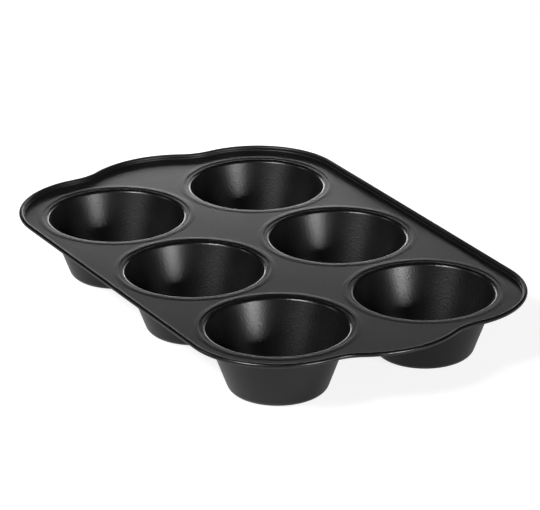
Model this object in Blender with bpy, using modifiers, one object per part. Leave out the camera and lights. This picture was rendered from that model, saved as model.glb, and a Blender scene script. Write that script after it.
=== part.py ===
"""A muffin pan for six muffins, pressed from coated sheet steel.

Six drawn cups hang by their flanges under the raised seam rings of one deck.
The deck's edge steps up to a ledge and rolls over a steel wire all the way round,
and it swells into a handle at each short end.
Metres, +Z up.  The pan stands on the bases of its cups at Z = 0, centred on the origin.
"""
import math

import bmesh
import bpy

# The grid of cups.  Rows run along X, front to back is Y.
CUPS_IN_ROW = 3
ROWS = 2

# The sheet, the tightest bend it takes, and what nested pieces leave free between them.
SHEET = 0.0005
BEND_ROUND = 0.0001
SEAT_GAP = 0.0003

# One cup, by the surface that the batter touches.
CUP_HEIGHT = 0.0323           # from the table to the top of its flange
CUP_MOUTH_RADIUS = 0.0356     # where the wall meets the flange, before rounding
CUP_BASE_RADIUS = 0.0239
CUP_BASE_FILLET = 0.0042
CUP_LIP_ROUND = 0.0012
FLANGE_DROP = 0.0002          # the flange slopes down this far to the mouth
FLANGE_SHOWN = 0.0029         # flange between the mouth and the cut edge of the deck
FLANGE_LAP = 0.0012           # flange hidden under the seam ring

# The seam ring in the deck around each cup.
RING_WIDTH = 0.0030           # from the cut edge out to the flat of the deck
RING_RISE = 0.0002
RING_RUN = 0.0008             # the length of its slope
RING_ROUND = 0.0008
RING_EDGE_RADIUS = CUP_MOUTH_RADIUS + FLANGE_SHOWN
RING_FOOT_RADIUS = RING_EDGE_RADIUS + RING_WIDTH

# Flat deck left between rings, and between a ring and the rim.
ROW_LAND = 0.0010
COLUMN_LAND = 0.0018
END_LAND = 0.0049
SIDE_LAND = 0.0028
ROW_PITCH = 2 * RING_FOOT_RADIUS + ROW_LAND
COLUMN_PITCH = 2 * RING_FOOT_RADIUS + COLUMN_LAND

# The rim in section.
BEAD_RADIUS = 0.0012
BEAD_CENTRE_RISE = 0.0014     # above the top of the deck
LEDGE_RISE = 0.0012
LEDGE_WIDTH = 0.0025
WALL_RUN = 0.0002             # how far the step up to the ledge leans out
WALL_FOOT_ROUND = 0.0005
WALL_TOP_ROUND = SHEET + BEND_ROUND
COVE_ROUND = 0.0029           # the hollow where the ledge sweeps up into the bead
CURL_END = -145               # degrees round the wire where the rolled edge stops
RIM_WIDTH = 2 * BEAD_RADIUS + LEDGE_WIDTH + WALL_RUN

# The outer edge of the pan in plan.
HANDLE_REACH = 0.0101         # how far a handle stands out from its end
HANDLE_RADIUS = 0.0546        # the round front of a handle
HANDLE_BLEND_RADIUS = 0.0277  # the hollow on each side of it
END_STRAIGHT = 0.0049         # between that hollow and the corner
HALF_LENGTH = (CUPS_IN_ROW - 1) / 2 * ROW_PITCH + RING_FOOT_RADIUS + END_LAND + RIM_WIDTH
HALF_WIDTH = (ROWS - 1) / 2 * COLUMN_PITCH + RING_FOOT_RADIUS + SIDE_LAND + RIM_WIDTH
HANDLE_SPREAD = HANDLE_RADIUS + HANDLE_BLEND_RADIUS
HANDLE_TURN = math.acos((HANDLE_SPREAD - HANDLE_REACH) / HANDLE_SPREAD)
CORNER_RADIUS = HALF_WIDTH - HANDLE_SPREAD * math.sin(HANDLE_TURN) - END_STRAIGHT

# How finely round shapes are cut.
CUP_SIDES = 32
FILLET_STEPS = 3
RIM_FILLET_STEPS = 1
RING_FILLET_STEPS = 1
COVE_STEPS = 2
CURL_TOP_STEPS = 1            # from the cove to the top of the bead
CURL_STEPS = 8                # from there to the end of the curl
CORNER_STEPS = 8
HANDLE_STEPS = 4
BLEND_STEPS = 4
MERGE = 0.00002

# The non-stick coating, and the bare wire inside the bead.
COATING = (0.010, 0.010, 0.0103)
COATING_ROUGHNESS = 0.38
STEEL = (0.55, 0.55, 0.54)
STEEL_ROUGHNESS = 0.35

FLANGE_TOP = CUP_HEIGHT
RING_TOP = FLANGE_TOP + SEAT_GAP + SHEET
DECK_TOP = RING_TOP - RING_RISE


def rounded(corners, radii, steps):
    """The path through the corners, each one rounded by its radius with the given number of steps."""
    path = [corners[0]]
    for before, corner, after, radius in zip(corners, corners[1:], corners[2:], radii):
        back = math.atan2(before[1] - corner[1], before[0] - corner[0])
        on = math.atan2(after[1] - corner[1], after[0] - corner[0])
        turn = (on - back + math.pi) % (2 * math.pi) - math.pi
        half = abs(turn) / 2
        middle = back + turn / 2
        reach = radius / math.sin(half)
        centre = (corner[0] + reach * math.cos(middle), corner[1] + reach * math.sin(middle))
        sweep = math.copysign(math.pi - 2 * half, turn)
        start = middle + math.pi + sweep / 2
        for step in range(steps + 1):
            angle = start - sweep * step / steps
            path.append((centre[0] + radius * math.cos(angle), centre[1] + radius * math.sin(angle)))
    path.append(corners[-1])
    return path


def arc(centre, radius, start, end, steps):
    """Points and outward directions along an arc, both ends included."""
    for step in range(steps + 1):
        angle = start + (end - start) * step / steps
        yield ((centre[0] + radius * math.cos(angle), centre[1] + radius * math.sin(angle)),
               (math.cos(angle), math.sin(angle)))


def quarter_outline():
    """The outer edge from the middle of the right handle to the start of the back, with outward directions."""
    handle = (HALF_LENGTH + HANDLE_REACH - HANDLE_RADIUS, 0.0)
    blend = (handle[0] + HANDLE_SPREAD * math.cos(HANDLE_TURN), HANDLE_SPREAD * math.sin(HANDLE_TURN))
    corner = (HALF_LENGTH - CORNER_RADIUS, HALF_WIDTH - CORNER_RADIUS)
    points = list(arc(handle, HANDLE_RADIUS, 0.0, HANDLE_TURN, HANDLE_STEPS))
    hollow = arc(blend, HANDLE_BLEND_RADIUS, math.pi + HANDLE_TURN, math.pi, BLEND_STEPS)
    points += [(point, (-out[0], -out[1])) for point, out in list(hollow)[1:]]
    points += arc(corner, CORNER_RADIUS, 0.0, math.pi / 2, CORNER_STEPS)
    return points


def outline():
    """The whole outer edge, counter-clockwise from the middle of the right handle."""
    quarter = quarter_outline()
    points = []
    for flip_x, flip_y in ((1, 1), (-1, 1), (-1, -1), (1, -1)):
        side = [((x * flip_x, y * flip_y), (nx * flip_x, ny * flip_y)) for (x, y), (nx, ny) in quarter]
        if flip_x * flip_y < 0:
            side.reverse()
        points += side
    loop = []
    for point, out in points:
        if not loop or math.dist(point, loop[-1][0]) > MERGE:
            loop.append((point, out))
    if math.dist(loop[0][0], loop[-1][0]) < MERGE:
        loop.pop()
    return loop


def rim_profile():
    """(inset from the outer edge, height) from the deck up the wall, along the ledge and round the bead."""
    bead = (BEAD_RADIUS, DECK_TOP + BEAD_CENTRE_RISE)
    ledge = DECK_TOP + LEDGE_RISE
    lift = ledge + COVE_ROUND - bead[1]
    apart = BEAD_RADIUS + COVE_ROUND
    cove = (bead[0] + math.sqrt(apart ** 2 - lift ** 2), ledge + COVE_ROUND)
    touch = math.asin(lift / apart)
    wall_top = RIM_WIDTH - WALL_RUN
    path = rounded([(RIM_WIDTH + WALL_FOOT_ROUND, DECK_TOP), (RIM_WIDTH, DECK_TOP), (wall_top, ledge),
                    (cove[0], ledge)], [WALL_FOOT_ROUND, WALL_TOP_ROUND], RIM_FILLET_STEPS)[1:]
    for step in range(1, COVE_STEPS):
        turn = -math.pi / 2 - (math.pi / 2 - touch) * step / COVE_STEPS
        path.append((cove[0] + COVE_ROUND * math.cos(turn), cove[1] + COVE_ROUND * math.sin(turn)))
    start, top, end = math.pi - touch, math.pi / 2, math.radians(CURL_END)
    turns = [start + (top - start) * step / CURL_TOP_STEPS for step in range(CURL_TOP_STEPS)]
    turns += [top + (end - top) * step / CURL_STEPS for step in range(CURL_STEPS + 1)]
    return path + [(bead[0] - BEAD_RADIUS * math.cos(turn), bead[1] + BEAD_RADIUS * math.sin(turn))
                   for turn in turns]


def ring_profile():
    """(radius, height) from the deck up and over the seam ring to the cut edge of its hole."""
    corners = [(RING_FOOT_RADIUS + RING_ROUND, DECK_TOP), (RING_FOOT_RADIUS, DECK_TOP),
               (RING_FOOT_RADIUS - RING_RUN, RING_TOP), (RING_EDGE_RADIUS, RING_TOP)]
    return rounded(corners, [RING_ROUND, RING_ROUND], RING_FILLET_STEPS)[1:]


def cup_profile():
    """(radius, height) of a cup's inner face, from the middle of its base out to the edge of its flange."""
    corners = [(0.0, SHEET), (CUP_BASE_RADIUS, SHEET), (CUP_MOUTH_RADIUS, FLANGE_TOP - FLANGE_DROP),
               (RING_EDGE_RADIUS, FLANGE_TOP)]
    path = rounded(corners, [CUP_BASE_FILLET, CUP_LIP_ROUND], FILLET_STEPS)
    return path + [(RING_EDGE_RADIUS + FLANGE_LAP, FLANGE_TOP)]


def cup_places():
    """The centre of every cup and the name of its place."""
    columns = {3: ("left", "middle", "right"), 2: ("left", "right"), 1: ("middle",)}
    rows = {2: ("front", "back"), 1: ("single",)}
    for row in range(ROWS):
        for column in range(CUPS_IN_ROW):
            x = (column - (CUPS_IN_ROW - 1) / 2) * ROW_PITCH
            y = (row - (ROWS - 1) / 2) * COLUMN_PITCH
            across = columns.get(CUPS_IN_ROW, [str(n) for n in range(CUPS_IN_ROW)])[column]
            along = rows.get(ROWS, [str(n) for n in range(ROWS)])[row]
            yield "cup_%s_%s" % (along, across), x, y


def material(name, colour, roughness, metallic):
    made = bpy.data.materials.new(name)
    made.use_nodes = True
    shader = made.node_tree.nodes["Principled BSDF"]
    shader.inputs["Base Color"].default_value = (*colour, 1.0)
    shader.inputs["Roughness"].default_value = roughness
    shader.inputs["Metallic"].default_value = metallic
    return made


def add_object(name, data, group, looks):
    made = bpy.data.objects.new(name, data)
    made.data.materials.append(looks)
    group.objects.link(made)
    return made


def thicken(piece):
    """Give an open sheet its thickness, away from the side that shows."""
    shell = piece.modifiers.new("sheet", "SOLIDIFY")
    shell.thickness = SHEET
    shell.offset = -1.0
    shell.use_even_offset = True
    shell.use_quality_normals = True


def add_loop(mesh, points):
    """A closed loop of edges through the points."""
    verts = [mesh.verts.new(point) for point in points]
    return [mesh.edges.new((a, b)) for a, b in zip(verts, verts[1:] + verts[:1])], verts


def extrude_loop(mesh, edges, verts, points):
    """Extrude a loop of edges once and move its new corners to the points."""
    made = bmesh.ops.extrude_edge_only(mesh, edges=edges)["geom"]
    fresh = {part for part in made if isinstance(part, bmesh.types.BMVert)}
    moved = []
    for vert, point in zip(verts, points):
        across = next(edge.other_vert(vert) for edge in vert.link_edges if edge.other_vert(vert) in fresh)
        across.co = point
        moved.append(across)
    return [mesh.edges.get(pair) for pair in zip(moved, moved[1:] + moved[:1])], moved


def make_deck(group, looks):
    mesh = bmesh.new()
    edge = outline()
    rim = rim_profile()
    ring = ring_profile()

    def rim_points(inset, z):
        return [(x - nx * inset, y - ny * inset, z) for (x, y), (nx, ny) in edge]

    def ring_points(x, y, radius, z):
        turns = [2 * math.pi * side / CUP_SIDES for side in range(CUP_SIDES)]
        return [(x + radius * math.cos(turn), y + radius * math.sin(turn), z) for turn in turns]

    loops = [(add_loop(mesh, rim_points(*rim[0])), [rim_points(*station) for station in rim[1:]])]
    for _, x, y in cup_places():
        stations = [ring_points(x, y, *station) for station in ring]
        loops.append((add_loop(mesh, stations[0]), stations[1:]))
    flat = [part for (edges, _), _ in loops for part in edges]
    bmesh.ops.triangle_fill(mesh, use_beauty=True, use_dissolve=False, edges=flat, normal=(0, 0, 1))
    for (edges, verts), stations in loops:
        for station in stations:
            edges, verts = extrude_loop(mesh, edges, verts, station)
    bmesh.ops.recalc_face_normals(mesh, faces=mesh.faces)
    top = max(mesh.faces, key=lambda face: face.calc_area())
    if top.normal.z < 0:
        bmesh.ops.reverse_faces(mesh, faces=mesh.faces)
    data = bpy.data.meshes.new("deck")
    mesh.to_mesh(data)
    mesh.free()
    data.shade_smooth()
    deck = add_object("deck", data, group, looks)
    thicken(deck)
    return deck


def make_wire(group, looks):
    """The wire that the rim is rolled round, laid along the middle of the bead."""
    path = [(x - nx * BEAD_RADIUS, y - ny * BEAD_RADIUS, DECK_TOP + BEAD_CENTRE_RISE)
            for (x, y), (nx, ny) in outline()]
    curve = bpy.data.curves.new("rim_wire", "CURVE")
    curve.dimensions = "3D"
    curve.bevel_depth = BEAD_RADIUS - SHEET - SEAT_GAP
    curve.bevel_resolution = 2
    curve.use_fill_caps = True
    line = curve.splines.new("POLY")
    line.points.add(len(path) - 1)
    for point, place in zip(line.points, path):
        point.co = (*place, 1.0)
    line.use_cyclic_u = True
    return add_object("rim_wire", curve, group, looks)


def make_cups(group, looks):
    profile = cup_profile()
    data = bpy.data.meshes.new("cup")
    data.from_pydata([(radius, 0.0, z) for radius, z in profile],
                     [(n, n + 1) for n in range(len(profile) - 1)], [])
    data.materials.append(looks)
    for name, x, y in cup_places():
        cup = bpy.data.objects.new(name, data)
        group.objects.link(cup)
        cup.location = (x, y, 0.0)
        turned = cup.modifiers.new("turned", "SCREW")
        turned.steps = CUP_SIDES
        turned.render_steps = CUP_SIDES
        turned.use_merge_vertices = True
        turned.merge_threshold = MERGE
        turned.use_smooth_shade = True
        thicken(cup)


def main():
    for old in list(bpy.data.objects):
        bpy.data.objects.remove(old)
    group = bpy.data.collections.new("muffin_pan")
    bpy.context.scene.collection.children.link(group)
    coating = material("non_stick_coating", COATING, COATING_ROUGHNESS, 0.0)
    steel = material("steel_wire", STEEL, STEEL_ROUGHNESS, 1.0)
    make_deck(group, coating)
    make_wire(group, steel)
    make_cups(group, coating)


main()
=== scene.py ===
# %% [markdown]
# # A muffin pan with a black non-stick coating
#
# The pan is sheet steel.  One large pressing, the deck, carries six drawn cups.
# Each cup hangs by its flange under a raised ring in the deck, and the outer edge
# of the deck is rolled over a steel wire.  Nothing on it moves.
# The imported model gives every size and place, so this script starts from it.

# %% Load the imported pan
import math

import bmesh
import bpy
from mathutils import Matrix, Vector


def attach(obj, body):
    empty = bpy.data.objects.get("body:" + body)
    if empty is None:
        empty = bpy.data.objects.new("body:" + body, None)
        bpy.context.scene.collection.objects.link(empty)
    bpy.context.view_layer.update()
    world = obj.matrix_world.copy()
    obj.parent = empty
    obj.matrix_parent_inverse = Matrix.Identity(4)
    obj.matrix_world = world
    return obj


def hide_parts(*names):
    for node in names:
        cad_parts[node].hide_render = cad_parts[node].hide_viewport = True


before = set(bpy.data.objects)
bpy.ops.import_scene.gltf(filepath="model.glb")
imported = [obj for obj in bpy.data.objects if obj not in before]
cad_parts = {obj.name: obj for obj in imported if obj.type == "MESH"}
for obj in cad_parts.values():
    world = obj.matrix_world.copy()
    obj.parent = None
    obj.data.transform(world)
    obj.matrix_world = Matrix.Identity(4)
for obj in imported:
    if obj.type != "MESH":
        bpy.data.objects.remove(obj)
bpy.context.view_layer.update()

scene = bpy.context.scene
scene.view_settings.view_transform = "Standard"
print("nodes:", ", ".join(sorted(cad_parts)))

# %% [markdown]
# ## Sizes
#
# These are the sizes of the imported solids.  The solids are cut with few sides, so that
# they stay light for physics.  Here each round shape is cut again, finely, from the same
# numbers, and it lands on the solid with no fitting.  A few forms are drawn closer to the
# photograph than the solids have them: a rounder lip on the cups, a seam that is pressed
# nearly shut, and a bead that rises straight from the deck through a small cove, where the
# solids have a ledge 1.2 mm high beside it.  None of them changes a size of the pan.

# %% Sizes in metres
SHEET, SEAT_GAP = 0.0005, 0.0003

CUP_HEIGHT = 0.0323
CUP_MOUTH_RADIUS, CUP_BASE_RADIUS = 0.0356, 0.0239
CUP_BASE_FILLET, CUP_LIP_ROUND = 0.0042, 0.0020
FLANGE_DROP, FLANGE_SHOWN, FLANGE_LAP = 0.00005, 0.0029, 0.0012

RING_WIDTH, RING_RISE = 0.0030, 0.0002
RING_EDGE_RADIUS = CUP_MOUTH_RADIUS + FLANGE_SHOWN
RING_FOOT_RADIUS = RING_EDGE_RADIUS + RING_WIDTH
RING_TOP = CUP_HEIGHT + SEAT_GAP + SHEET
DECK_TOP = RING_TOP - RING_RISE

# The seam as the photograph shows it: the ring a little lower, its slope longer, its edge
# thinned and rolled down by the press, and the flange pressed up against it.
SHOWN_SHARE, SHOWN_SPREAD = 0.65, 0.0002     # of the ring's rise, and beyond its foot
SHOWN_TOP, SHOWN_FOOT = DECK_TOP + SHOWN_SHARE * RING_RISE, RING_FOOT_RADIUS + SHOWN_SPREAD
SHOWN_RUN, SHOWN_ROUND, SHOWN_SHEET = 0.0017, 0.0050, 0.0002
ROLL_WIDTH, ROLL_DROP, ROLL_ROUND = 0.0004, 0.0001, 0.0010
SHOWN_FLANGE = SHOWN_TOP - ROLL_DROP - SHOWN_SHEET

ROW_LAND, COLUMN_LAND, END_LAND, SIDE_LAND = 0.0010, 0.0018, 0.0049, 0.0028
ROW_PITCH = 2 * RING_FOOT_RADIUS + ROW_LAND
COLUMN_PITCH = 2 * RING_FOOT_RADIUS + COLUMN_LAND

BEAD_RADIUS, BEAD_CENTRE_RISE, CURL_END = 0.0012, 0.0014, -115
COVE_ROUND, COVE_LEAD = 0.0007, 0.0004       # the hollow, and the strip of deck before it
POLISH = 0.00002                             # the film is worn this much thinner on the bead

# The solids' ledge isn't drawn, but its width is part of the pan's length and width.
LEDGE_WIDTH, WALL_RUN = 0.0025, 0.0002
RIM_WIDTH = 2 * BEAD_RADIUS + LEDGE_WIDTH + WALL_RUN

HANDLE_REACH, HANDLE_RADIUS = 0.0101, 0.0546
HANDLE_BLEND_RADIUS, END_STRAIGHT = 0.0277, 0.0049
HALF_LENGTH = ROW_PITCH + RING_FOOT_RADIUS + END_LAND + RIM_WIDTH
HALF_WIDTH = COLUMN_PITCH / 2 + RING_FOOT_RADIUS + SIDE_LAND + RIM_WIDTH
HANDLE_SPREAD = HANDLE_RADIUS + HANDLE_BLEND_RADIUS
HANDLE_TURN = math.acos((HANDLE_SPREAD - HANDLE_REACH) / HANDLE_SPREAD)
CORNER_RADIUS = HALF_WIDTH - HANDLE_SPREAD * math.sin(HANDLE_TURN) - END_STRAIGHT
print("without handles:", round(2 * HALF_LENGTH, 4), "by", round(2 * HALF_WIDTH, 4))

# %% [markdown]
# ## The camera
#
# The photograph was taken from far away with a long lens, so lines that are parallel on
# the pan stay nearly parallel in the picture.  A camera that is placed by an angle, a
# distance and the point it looks at is easier to correct than one placed by hand.

# %% Place the camera
CAMERA_AZIMUTH = math.radians(-29.93)
CAMERA_ELEVATION = math.radians(22.72)
CAMERA_ROLL = math.radians(-0.40)
CAMERA_DISTANCE = 1.911
CAMERA_LENS, FILM_WIDTH = 249.5, 36.0
NEAREST, FARTHEST = 0.1, 20.0
CAMERA_AIM = Vector((0.00462, -0.00076, DECK_TOP))

toward = Vector((math.cos(CAMERA_AZIMUTH), math.sin(CAMERA_AZIMUTH), 0.0))
rightward = Vector((-toward.y, toward.x, 0.0))
back = toward * math.cos(CAMERA_ELEVATION) + Vector((0, 0, math.sin(CAMERA_ELEVATION)))
level_up = back.cross(rightward)
side = rightward * math.cos(CAMERA_ROLL) + level_up * math.sin(CAMERA_ROLL)
lens = bpy.data.cameras.new("camera")
lens.sensor_width, lens.lens = FILM_WIDTH, CAMERA_LENS
lens.clip_start, lens.clip_end = NEAREST, FARTHEST
camera = bpy.data.objects.new("camera", lens)
scene.collection.objects.link(camera)
turn = Matrix((side, back.cross(side), back)).transposed().to_4x4()
camera.matrix_world = Matrix.Translation(CAMERA_AIM + back * CAMERA_DISTANCE) @ turn
scene.camera = camera
print("camera at", [round(value, 3) for value in camera.location])

# %% [markdown]
# ## Shader maths as plain expressions
#
# A material is a graph of nodes, and wiring it by hand hides the idea behind dozens of
# lines.  This small class wraps one output of a node.  Adding, subtracting or multiplying
# makes the Math node, so a mask reads as the formula that it is.

# %% A wrapped socket
class Value:
    """One output in a material's graph, with arithmetic."""

    def __init__(self, graph, socket):
        self.graph, self.socket = graph, socket

    def maths(self, operation, *others, clamp=False):
        inputs = dict(enumerate((self, *others)))
        settings = {"operation": operation, "use_clamp": clamp}
        return self.graph.node("ShaderNodeMath", settings, inputs)

    def __add__(self, other):
        return self.maths("ADD", other)

    def __mul__(self, other):
        return self.maths("MULTIPLY", other)

    def __sub__(self, other):
        return self.maths("SUBTRACT", other)

    def clamped(self):
        """The same value, held between 0 and 1."""
        return self.maths("ADD", 0.0, clamp=True)

    def ramp(self, low, high, low_value=0.0, high_value=1.0):
        """A smooth change from low_value to high_value while this goes from low to high."""
        return self.graph.node("ShaderNodeMapRange", {"interpolation_type": "SMOOTHSTEP"},
                               {"Value": self, "From Min": low, "From Max": high,
                                "To Min": low_value, "To Max": high_value})

# %% A graph that makes nodes
class Graph:
    """A material's or the world's nodes, cleared and ready."""

    def __init__(self, owner):
        owner.use_nodes = True
        self.tree = owner.node_tree
        self.tree.nodes.clear()

    def node(self, kind, settings=None, inputs=None, output=0):
        """Add a node, change its settings, then fill its inputs with numbers or links."""
        made = self.tree.nodes.new(kind)
        for name, value in (settings or {}).items():
            setattr(made, name, value)
        for name, value in (inputs or {}).items():
            if isinstance(value, Value):
                self.tree.links.new(value.socket, made.inputs[name])
            else:
                made.inputs[name].default_value = value
        return Value(self, made.outputs[output])

    def noise(self, place, scale, detail):
        """Soft spots of grey, about scale of them to a metre."""
        inputs = {"Vector": place, "Scale": scale, "Detail": detail}
        return self.node("ShaderNodeTexNoise", inputs=inputs)

    def mix_colours(self, factor, first, second):
        """Between two colours.  The Mix node keeps its colours in sockets 6, 7 and out 2."""
        inputs = {0: factor, 6: first, 7: second}
        return self.node("ShaderNodeMix", {"data_type": "RGBA"}, inputs, output=2)

    def finish(self, surface, kind="ShaderNodeOutputMaterial"):
        """End the graph in its output node."""
        made = self.tree.nodes.new(kind)
        self.tree.links.new(surface.socket, made.inputs["Surface"])

# %% [markdown]
# ## The non-stick coating
#
# The coating is a black film about 20 microns thick, sprayed on and baked.  It is black
# all through, so nearly all the light that reaches the eye is reflected at its surface,
# and its roughness says more than its colour.  Up close it has a fine grain like very
# fine sandpaper, a slow waviness from the sheet below, and a slightly more polished
# look where hands and paper cases rub it: on the rolled edge and on the lips.
#
# The photograph shows it in two finishes.  On the deck the glow is wide and even, and in
# the cups the stripes are tighter and the grain is coarser.  So the same mix is made
# twice, with other numbers for grain and roughness.  A roughness below 0.3 would draw the
# lamps with hard edges, and one above 0.5 would turn the black into grey haze.

# %% Mix the coating
GRAIN_SCALE, CLOUD_SCALE, SPECK_SCALE = 1000.0, 55.0, 1500.0
CLOUD_EDGES, SPECK_EDGES = (0.3, 0.7), (0.62, 0.78)       # where a mask starts and is full
CLOUD_SHADES, SPECK_SHADE, SPECK_GLOSS = (0.15, 0.6), 0.35, 0.05
DEEP_BLACK, DUSTY_BLACK = (0.0025, 0.0025, 0.0026, 1), (0.006, 0.006, 0.0062, 1)
GRAIN_STRENGTH, FILM_IOR = 0.6, 1.5


def make_coating(name, grain_depth, smooth_part, rough_part, rubbed_gloss):
    """The film, with a roughness that drifts between two values and is lower where rubbed."""
    material = bpy.data.materials.new(name)
    graph = Graph(material)
    place = graph.node("ShaderNodeTexCoord", output="Object")
    grain = graph.noise(place, GRAIN_SCALE, 2.0)
    cloud = graph.noise(place, CLOUD_SCALE, 3.0)
    speck = graph.noise(place, SPECK_SCALE, 1.0)
    rubbed = graph.node("ShaderNodeAttribute", {"attribute_name": "rubbed"}, output="Fac")
    specks = speck.ramp(*SPECK_EDGES)
    shade = (cloud.ramp(*CLOUD_EDGES, *CLOUD_SHADES) + specks * SPECK_SHADE).clamped()
    colour = graph.mix_colours(shade, DEEP_BLACK, DUSTY_BLACK)
    drift = cloud.ramp(*CLOUD_EDGES, smooth_part, rough_part)
    roughness = drift - specks * SPECK_GLOSS - rubbed * rubbed_gloss
    bump = graph.node("ShaderNodeBump", inputs={
        "Strength": GRAIN_STRENGTH, "Distance": grain_depth, "Height": grain})
    shader = graph.node("ShaderNodeBsdfPrincipled", inputs={
        "Base Color": colour, "Roughness": roughness, "Normal": bump, "IOR": FILM_IOR})
    graph.finish(shader)
    print(name, "has", len(graph.tree.nodes), "nodes")
    return material


deck_coating = make_coating("deck_coating", 0.00008, 0.40, 0.44, 0.18)
cup_coating = make_coating("cup_coating", 0.00013, 0.31, 0.35, 0.10)

# %% [markdown]
# ## Bare steel wire
#
# The wire inside the rolled edge is drawn through a die, which leaves fine scratches
# along it.  It hardly shows, only from below where the curl ends, so a fine noise in its
# colour and roughness is enough.

# %% Mix the steel
DARK_STEEL, LIGHT_STEEL = (0.40, 0.40, 0.39, 1), (0.56, 0.56, 0.55, 1)
SCRATCH_SCALE, STEEL_ROUGHNESS = 900.0, (0.28, 0.42)


def make_steel(name):
    """Drawn steel, lighter and rougher in spots."""
    material = bpy.data.materials.new(name)
    graph = Graph(material)
    place = graph.node("ShaderNodeTexCoord", output="Object")
    scratches = graph.noise(place, SCRATCH_SCALE, 3.0)
    colour = graph.mix_colours(scratches.ramp(0.35, 0.7), DARK_STEEL, LIGHT_STEEL)
    roughness = scratches.ramp(0.3, 0.7, *STEEL_ROUGHNESS)
    shader = graph.node("ShaderNodeBsdfPrincipled", inputs={
        "Base Color": colour, "Roughness": roughness, "Metallic": 1.0})
    graph.finish(shader)
    return material


steel = make_steel("steel_wire")
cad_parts["rim_wire"].data.materials.clear()
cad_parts["rim_wire"].data.materials.append(steel)

# %% [markdown]
# ## Rounded paths
#
# Rim, ring and cup are all a section that is swept along or around something.  A section
# is a few corners, each rounded by its own radius.  Writing the corners and the radii
# keeps the drawing readable, and the arcs are worked out as finely as wanted.

# %% Round the corners of a path
def rounded(corners, radii, steps):
    """The corners as one line, with an arc of so many steps in place of each inner corner."""
    path = [corners[0]]
    for before, corner, after, radius in zip(corners, corners[1:], corners[2:], radii):
        back_angle = math.atan2(before[1] - corner[1], before[0] - corner[0])
        on_angle = math.atan2(after[1] - corner[1], after[0] - corner[0])
        turn_angle = (on_angle - back_angle + math.pi) % (2 * math.pi) - math.pi
        half = abs(turn_angle) / 2
        middle = back_angle + turn_angle / 2
        reach = radius / math.sin(half)
        centre = (corner[0] + reach * math.cos(middle), corner[1] + reach * math.sin(middle))
        sweep = math.copysign(math.pi - 2 * half, turn_angle)
        start = middle + math.pi + sweep / 2
        for step in range(steps + 1):
            angle = start - sweep * step / steps
            path.append((centre[0] + radius * math.cos(angle),
                         centre[1] + radius * math.sin(angle)))
    path.append(corners[-1])
    return path

# %% [markdown]
# ## The outline in plan
#
# A long side, a round corner, a short straight, a hollow and the round front of a handle:
# a quarter of the outline is three arcs that meet without a kink, and the rest mirrors it.
# Each point keeps the direction that faces outward, so that a line inset by any distance
# is the same list of points moved back along it.

# %% Draw the outline
HANDLE_STEPS, HOLLOW_STEPS, CORNER_STEPS, SIDE_STEPS = 18, 14, 36, 8


def arc(centre, radius, start, end, steps):
    """Points of an arc, each with its direction away from the centre."""
    for step in range(steps + 1):
        angle = start + (end - start) * step / steps
        out = Vector((math.cos(angle), math.sin(angle)))
        yield Vector(centre) + out * radius, out


def quarter_outline():
    """From the tip of a handle to the middle of a long side, with each point's way outward."""
    handle = Vector((HALF_LENGTH + HANDLE_REACH - HANDLE_RADIUS, 0.0))
    lean = HANDLE_TURN
    hollow = handle + HANDLE_SPREAD * Vector((math.cos(lean), math.sin(lean)))
    corner = (HALF_LENGTH - CORNER_RADIUS, HALF_WIDTH - CORNER_RADIUS)
    points = list(arc(handle, HANDLE_RADIUS, 0.0, lean, HANDLE_STEPS))
    hollow_arc = arc(hollow, HANDLE_BLEND_RADIUS, math.pi + lean, math.pi, HOLLOW_STEPS)
    points += [(point, -out) for point, out in hollow_arc][1:]
    straight_start, straight_out = points[-1]
    corner_points = list(arc(corner, CORNER_RADIUS, 0.0, math.pi / 2, CORNER_STEPS))
    points.append((straight_start.lerp(corner_points[0][0], 0.5), straight_out))
    points += corner_points
    side_start, side_middle = corner_points[-1][0], Vector((0.0, HALF_WIDTH))
    points += [(side_start.lerp(side_middle, step / SIDE_STEPS), Vector((0, 1)))
               for step in range(1, SIDE_STEPS + 1)]
    return points


def outline():
    """The whole loop: the quarter, mirrored, with every second one walked backwards."""
    loop = []
    for flip in (Vector((1, 1)), Vector((-1, 1)), Vector((-1, -1)), Vector((1, -1))):
        quarter = [(point * flip, out * flip) for point, out in quarter_outline()]
        if flip.x * flip.y < 0:
            quarter.reverse()
        loop += quarter[:-1]
    return loop


edge = outline()
print("outline points:", len(edge))

# %% [markdown]
# ## The rim in section
#
# The deck turns up through a small cove into the bead.  The sheet goes over the wire,
# down the outside and back under, where its cut edge stops just short of the cove.  Each
# station also says how much it is rubbed.

# %% Draw the section of the rim
COVE_STEPS, CURL_STEPS = 9, 36
MOST_RUBBED = math.radians(30)               # up from the outermost line of the bead


def rim_section():
    """(inset from the outer edge, height, rubbing) from the deck to the end of the curl."""
    bead_z = DECK_TOP + BEAD_CENTRE_RISE
    apart = BEAD_RADIUS + COVE_ROUND
    lift = DECK_TOP + COVE_ROUND - bead_z
    cove_x = BEAD_RADIUS + math.sqrt(apart ** 2 - lift ** 2)
    stations = [(cove_x + COVE_LEAD, DECK_TOP, 0.0), (cove_x, DECK_TOP, 0.0)]
    touch = math.asin(lift / apart)
    for step in range(1, COVE_STEPS):
        angle = -math.pi / 2 - (math.pi / 2 - touch) * step / COVE_STEPS
        stations.append((cove_x + COVE_ROUND * math.cos(angle),
                         DECK_TOP + COVE_ROUND * (1 + math.sin(angle)), 0.0))
    start, end, radius = math.pi - touch, math.radians(CURL_END), BEAD_RADIUS - POLISH
    for step in range(CURL_STEPS + 1):
        angle = start + (end - start) * step / CURL_STEPS
        stations.append((BEAD_RADIUS - radius * math.cos(angle),
                         bead_z + radius * math.sin(angle),
                         max(0.0, math.cos(angle - MOST_RUBBED))))
    return stations

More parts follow.
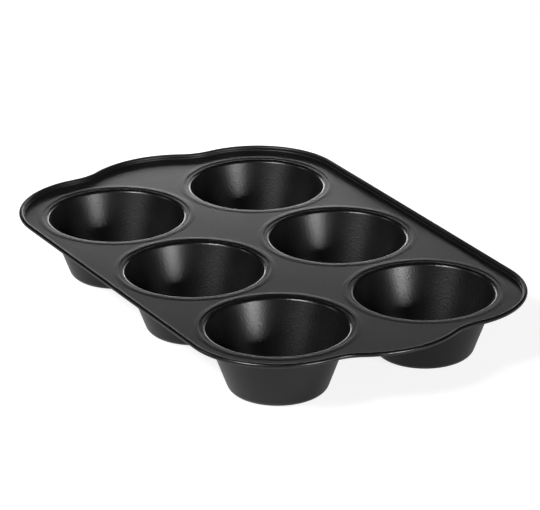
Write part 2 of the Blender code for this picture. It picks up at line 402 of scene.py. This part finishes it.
# %% [markdown]
# ## The seam ring in section
#
# Around each cup the deck steps up over the cup's flange and stops at a cut edge.  That
# edge throws the thin black line that runs round every mouth.  The step is little more
# than a tenth of a millimetre high, but a gloss shows it as one light and one dark line,
# because the slope mirrors another part of the room than the flat does.

# %% Draw the section of a seam ring
RING_LEAD, RING_STEPS = 0.001, 6
EDGE_BAND, EDGE_RUBBED = 0.0001, 0.3


def ring_section():
    """(radius, height, rubbing) from the deck up the ring and in to its cut edge."""
    corners = [(SHOWN_FOOT + RING_LEAD, DECK_TOP), (SHOWN_FOOT, DECK_TOP),
               (SHOWN_FOOT - SHOWN_RUN, SHOWN_TOP), (RING_EDGE_RADIUS + ROLL_WIDTH, SHOWN_TOP),
               (RING_EDGE_RADIUS, SHOWN_TOP - ROLL_DROP)]
    path = rounded(corners, [SHOWN_ROUND, SHOWN_ROUND, ROLL_ROUND], RING_STEPS)[1:]
    return [(radius, z, EDGE_RUBBED if radius < RING_EDGE_RADIUS + EDGE_BAND else 0.0)
            for radius, z in path]

# %% [markdown]
# ## Press the deck
#
# The flat is filled between the outline and the six holes.  Then each open loop is
# extruded from station to station: outward along the rim and inward over the rings.
# Solidify gives the sheet its thickness, and weighted normals keep the flat flat.

# %% Extrude loops of edges
CUT_SHARE, CUT_SEGMENTS, CUT_ANGLE = 0.25, 2, math.radians(60)
FLAT_WEIGHT = 80


def add_loop(mesh, points):
    """A closed line of edges through the points."""
    verts = [mesh.verts.new(point) for point in points]
    return [mesh.edges.new(pair) for pair in zip(verts, verts[1:] + verts[:1])], verts


def extrude_loop(mesh, edges, verts, points, rubbed, amount):
    """Draw the loop out to its next points, and return the new loop."""
    made = bmesh.ops.extrude_edge_only(mesh, edges=edges)["geom"]
    fresh = {part for part in made if isinstance(part, bmesh.types.BMVert)}
    moved = []
    for vert, point in zip(verts, points):
        ends = (link.other_vert(vert) for link in vert.link_edges)
        across = next(end for end in ends if end in fresh)
        across.co = point
        across[rubbed] = amount
        moved.append(across)
    return [mesh.edges.get(pair) for pair in zip(moved, moved[1:] + moved[:1])], moved


def thicken(piece, sheet):
    """Give a surface the sheet's thickness behind its shown face, and soften its cut edges."""
    shell = piece.modifiers.new("sheet", "SOLIDIFY")
    shell.thickness, shell.offset = sheet, -1.0
    shell.use_even_offset = shell.use_quality_normals = True
    worn = piece.modifiers.new("soft_cut_edge", "BEVEL")
    worn.width, worn.segments = sheet * CUT_SHARE, CUT_SEGMENTS
    worn.limit_method, worn.angle_limit = "ANGLE", CUT_ANGLE
    even = piece.modifiers.new("even_shading", "WEIGHTED_NORMAL")
    even.keep_sharp, even.weight = True, FLAT_WEIGHT


def finished_mesh(mesh, name, coating):
    """Turn the working mesh into a smooth one with its coating."""
    data = bpy.data.meshes.new(name)
    mesh.to_mesh(data)
    mesh.free()
    data.shade_smooth()
    data.materials.append(coating)
    return data

# %% Make the deck
CUP_PLACES = [(row, column, (column - 1) * ROW_PITCH, (row - 0.5) * COLUMN_PITCH)
              for row in range(2) for column in range(3)]
RING_SIDES = 128


def rim_stations():
    """The loops of the rim, from the flat outward, each with how much it is rubbed."""
    return [([(*(point - out * inset), z) for point, out in edge], worn)
            for inset, z, worn in rim_section()]


def ring_stations(x, y):
    """The loops of the ring round one cup, from the flat inward."""
    turns = [2 * math.pi * step / RING_SIDES for step in range(RING_SIDES)]
    return [([(x + radius * math.cos(angle), y + radius * math.sin(angle), z)
              for angle in turns], worn) for radius, z, worn in ring_section()]


def make_deck():
    """Fill the flat, draw out the rim and the rings, and put it in place of the solid."""
    mesh = bmesh.new()
    rubbed = mesh.verts.layers.float.new("rubbed")
    sweeps = []
    for stations in [rim_stations()] + [ring_stations(x, y) for _, _, x, y in CUP_PLACES]:
        sweeps.append((add_loop(mesh, stations[0][0]), stations[1:]))
    flat = [line for (edges, _), _ in sweeps for line in edges]
    bmesh.ops.triangle_fill(mesh, use_beauty=True, use_dissolve=False, edges=flat,
                            normal=(0, 0, 1))
    for (edges, verts), stations in sweeps:
        for points, amount in stations:
            edges, verts = extrude_loop(mesh, edges, verts, points, rubbed, amount)
    bmesh.ops.recalc_face_normals(mesh, faces=mesh.faces)
    if max(mesh.faces, key=lambda face: face.calc_area()).normal.z < 0:
        bmesh.ops.reverse_faces(mesh, faces=mesh.faces)
    data = finished_mesh(mesh, "deck_sheet", deck_coating)
    piece = bpy.data.objects.new("deck_sheet", data)
    scene.collection.objects.link(piece)
    thicken(piece, SHOWN_SHEET)
    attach(piece, "root")
    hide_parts("deck")
    return piece


deck = make_deck()
print("deck faces before thickness:", len(deck.data.polygons))

# %% [markdown]
# ## Draw the cups
#
# A cup is drawn from a disc in a press, so it is a turned shape: one section spun about
# the upright axis.  The section is the face that the batter touches, from the middle of
# the base, round the fillet, up the sloping wall, over the lip and out to the flange.

# %% Make the cups
FLANGE_ROUND, CUP_STEPS = 0.003, 8
LIP_BAND = 0.0009                            # how far the rubbing reaches from the lip
WELD = 0.00001


def cup_section():
    """(radius, height, rubbing) from the middle of the base to the edge of the flange."""
    lip = SHOWN_FLANGE - FLANGE_DROP
    corners = [(0.0, SHEET), (CUP_BASE_RADIUS, SHEET), (CUP_MOUTH_RADIUS, lip),
               (RING_EDGE_RADIUS, SHOWN_FLANGE), (RING_EDGE_RADIUS + FLANGE_LAP, SHOWN_FLANGE)]
    path = rounded(corners, [CUP_BASE_FILLET, CUP_LIP_ROUND, FLANGE_ROUND], CUP_STEPS)
    return [(radius, z, 1.0 if z > lip - LIP_BAND and radius < CUP_MOUTH_RADIUS + LIP_BAND else 0.0)
            for radius, z in path]


def make_cup_mesh():
    """Spin the section, join its seam and turn its faces inward to the batter."""
    mesh = bmesh.new()
    rubbed = mesh.verts.layers.float.new("rubbed")
    verts = []
    for radius, z, worn in cup_section():
        verts.append(mesh.verts.new((radius, 0.0, z)))
        verts[-1][rubbed] = worn
    lines = [mesh.edges.new(pair) for pair in zip(verts, verts[1:])]
    bmesh.ops.spin(mesh, geom=verts + lines, cent=(0, 0, 0), axis=(0, 0, 1), angle=2 * math.pi,
                   steps=RING_SIDES, use_merge=True)
    bmesh.ops.remove_doubles(mesh, verts=mesh.verts, dist=WELD)
    bmesh.ops.recalc_face_normals(mesh, faces=mesh.faces)
    base = min(mesh.faces, key=lambda face: face.calc_center_median().xy.length)
    if base.normal.z < 0:
        bmesh.ops.reverse_faces(mesh, faces=mesh.faces)
    return finished_mesh(mesh, "cup_sheet", cup_coating)


cup_mesh = make_cup_mesh()
ROW_NAMES, COLUMN_NAMES = ("front", "back"), ("left", "middle", "right")
for row, column, x, y in CUP_PLACES:
    name = "%s_%s" % (ROW_NAMES[row], COLUMN_NAMES[column])
    cup = bpy.data.objects.new("cup_sheet_" + name, cup_mesh)
    cup.location = (x, y, 0.0)
    scene.collection.objects.link(cup)
    thicken(cup, SHEET)
    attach(cup, "root")
    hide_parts("cup_" + name)
print("cup faces before thickness:", len(cup_mesh.polygons))

# %% [markdown]
# ## The floor
#
# A white table that keeps a soft shadow.  Part of its whiteness is its own glow, so that
# the lamps can stay at a plain level and the pan isn't lit more to make the table white.

# %% Lay the floor
FLOOR_SIZE, FLOOR_DROP, FLOOR_WHITE = 6.0, 0.0002, (0.50, 0.50, 0.50, 1)
GLOW_LENT, GLOW_SEEN = 0.24, 0.82            # to the pan, and to the camera


def make_floor():
    """A wide plane just under the pan."""
    mesh = bmesh.new()
    bmesh.ops.create_grid(mesh, x_segments=1, y_segments=1, size=FLOOR_SIZE)
    data = bpy.data.meshes.new("floor")
    mesh.to_mesh(data)
    mesh.free()
    floor = bpy.data.objects.new("floor", data)
    floor.location.z = -FLOOR_DROP
    scene.collection.objects.link(floor)
    material = bpy.data.materials.new("floor_white")
    graph = Graph(material)
    matt = graph.node("ShaderNodeBsdfDiffuse", inputs={"Color": FLOOR_WHITE})
    seen = graph.node("ShaderNodeLightPath", output="Is Camera Ray")
    glow = graph.node("ShaderNodeEmission", inputs={
        "Color": (1, 1, 1, 1), "Strength": seen.ramp(0, 1, GLOW_LENT, GLOW_SEEN)})
    graph.finish(graph.node("ShaderNodeAddShader", inputs={0: matt, 1: glow}))
    data.materials.append(material)


make_floor()

# %% [markdown]
# ## The light
#
# Black gloss shows the room more than itself, so each lamp is placed by what it is seen
# in.  Two softboxes stand in front, one on each side.  They draw the two soft stripes
# inside the cups, the bright lines on the lips and the highlights along the bead.  The
# right one is low, so that the near lip of each cup shades the lower half of its stripe.
# Two weak panels on the left keep the outer walls of the cups from going flat.

# %% Set the lamps
LAMP_DISTANCE = 1.6
LAMPS = [  # name, degrees right of the camera, degrees up, width, height, watts
    ("softbox_right", 38.5, 9, 0.54, 0.45, 16.2),
    ("softbox_left", -39, 42, 0.58, 0.30, 19.5),
    ("panel_left", -45, 24, 0.46, 0.50, 0.8),
    ("small_left", -96, 30, 0.14, 0.18, 1.4),
]


def add_lamp(name, place, out, width, tall, watts):
    """A soft rectangle that shines back along out, and that the camera doesn't see."""
    data = bpy.data.lights.new(name, "AREA")
    data.shape, data.size, data.size_y, data.energy = "RECTANGLE", width, tall, watts
    lamp = bpy.data.objects.new(name, data)
    turned = out.to_track_quat("Z", "Y").to_matrix().to_4x4()
    lamp.matrix_world = Matrix.Translation(place) @ turned
    lamp.visible_camera = False
    scene.collection.objects.link(lamp)
    print(name, "radiance about", round(watts / (math.pi * width * tall), 2))


for name, across, up, width, tall, watts in LAMPS:
    across, up = math.radians(across), math.radians(up)
    flat = toward * math.cos(across) + rightward * math.sin(across)
    out = flat * math.cos(up) + Vector((0, 0, math.sin(up)))
    place = Vector((0, 0, DECK_TOP)) + out * LAMP_DISTANCE
    add_lamp(name, place, out, width, tall, watts)

# %% [markdown]
# A flat deck that is seen from a low camera mirrors what stands low behind it.  A wide
# pale card there lights the deck evenly, but it also washes out every rim.  A low strip
# close behind the pan lights only what lies flat, it fades towards the near side as it
# does in the photograph, and it leaves the insides of the cups black.  A second strip,
# weaker and higher, stands to the right for that end of the deck.

# %% Set the strips behind the pan
STRIPS = [  # name, right of the middle, behind, height, width, tall, radiance
    ("strip_low", -0.04, 0.34, 0.070, 0.26, 0.050, 5.9),
    ("strip_side", 0.15, 0.34, 0.135, 0.14, 0.050, 2.8),
]

for name, across, behind, height, width, tall, radiance in STRIPS:
    flat = rightward * across - toward * behind
    place = flat + Vector((0, 0, height))
    add_lamp(name, place, flat.normalized(), width, tall, math.pi * width * tall * radiance)

# %% [markdown]
# The rest of the room is white to the camera and nearly dark to the pan, so that the
# picture has a clean background and the black stays black.

# %% The world behind everything
ROOM_LENT, ROOM_SEEN = 0.03, 1.0             # to the pan, and to the camera
scene.world = bpy.data.worlds.new("room")
room = Graph(scene.world)
seen = room.node("ShaderNodeLightPath", output="Is Camera Ray")
level = seen.ramp(0.0, 1.0, ROOM_LENT, ROOM_SEEN)
backdrop = room.node("ShaderNodeBackground", inputs={"Color": (1, 1, 1, 1), "Strength": level})
room.finish(backdrop, "ShaderNodeOutputWorld")
